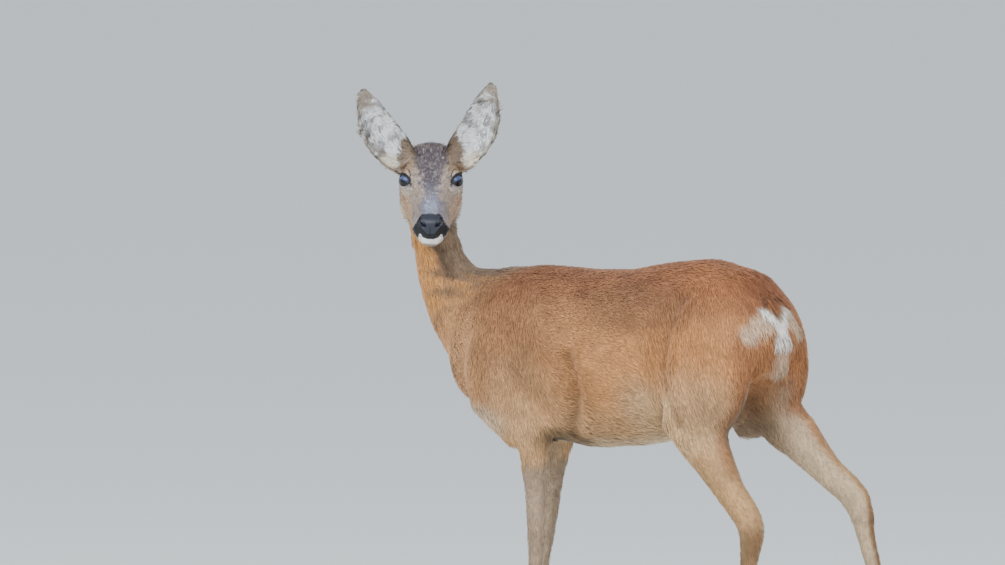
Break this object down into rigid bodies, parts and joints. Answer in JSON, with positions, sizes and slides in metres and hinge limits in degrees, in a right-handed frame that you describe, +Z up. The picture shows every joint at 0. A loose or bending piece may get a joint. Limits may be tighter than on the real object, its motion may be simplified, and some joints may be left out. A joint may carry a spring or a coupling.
{
  "type": "roe deer",
  "caption": "Life-size standing roe doe in summer coat, walking pose, head turned back over the left shoulder and ears raised; a still museum model.",
  "frame": {"origin": "the middle of the bounding box in X and Y, on the floor under the soles", "axes": "+Z up; the body lies along X with the chest towards -X and the rump towards +X; the deer's left side is -Y; the head is turned back over the left shoulder"},
  "size_m": [0.974, 0.2732, 0.9218],
  "materials": {
    "coat": "short dense summer hair, red-brown on the back and paler below",
    "nose": "moist dark pebbled skin",
    "eye": "wet, clear and very dark brown",
    "horn": "dark horn with a dull polish"
  },
  "bodies": {
    "root": {"trunk": "coat", "neck": "coat", "head": "coat", "lower_jaw": "coat", "ear_left": "coat", "ear_right": "coat", "tail": "coat", "rump_tuft": "coat", "nose_pad": "nose", "eye_left": "eye", "eye_right": "eye", "foreleg_left_shoulder": "coat", "foreleg_left_forearm": "coat", "foreleg_left_cannon": "coat", "foreleg_left_pastern": "coat", "foreleg_left_claw_inner": "horn", "foreleg_left_dewclaw_inner": "horn", "foreleg_left_claw_outer": "horn", "foreleg_left_dewclaw_outer": "horn", "foreleg_right_shoulder": "coat", "foreleg_right_forearm": "coat", "foreleg_right_cannon": "coat", "foreleg_right_pastern": "coat", "foreleg_right_claw_inner": "horn", "foreleg_right_dewclaw_inner": "horn", "foreleg_right_claw_outer": "horn", "foreleg_right_dewclaw_outer": "horn", "hindleg_left_thigh": "coat", "hindleg_left_gaskin": "coat", "hindleg_left_cannon": "coat", "hindleg_left_pastern": "coat", "hindleg_left_claw_inner": "horn", "hindleg_left_dewclaw_inner": "horn", "hindleg_left_claw_outer": "horn", "hindleg_left_dewclaw_outer": "horn", "hindleg_right_thigh": "coat", "hindleg_right_gaskin": "coat", "hindleg_right_cannon": "coat", "hindleg_right_pastern": "coat", "hindleg_right_claw_inner": "horn", "hindleg_right_dewclaw_inner": "horn", "hindleg_right_claw_outer": "horn", "hindleg_right_dewclaw_outer": "horn"}
  },
  "joints": []
}
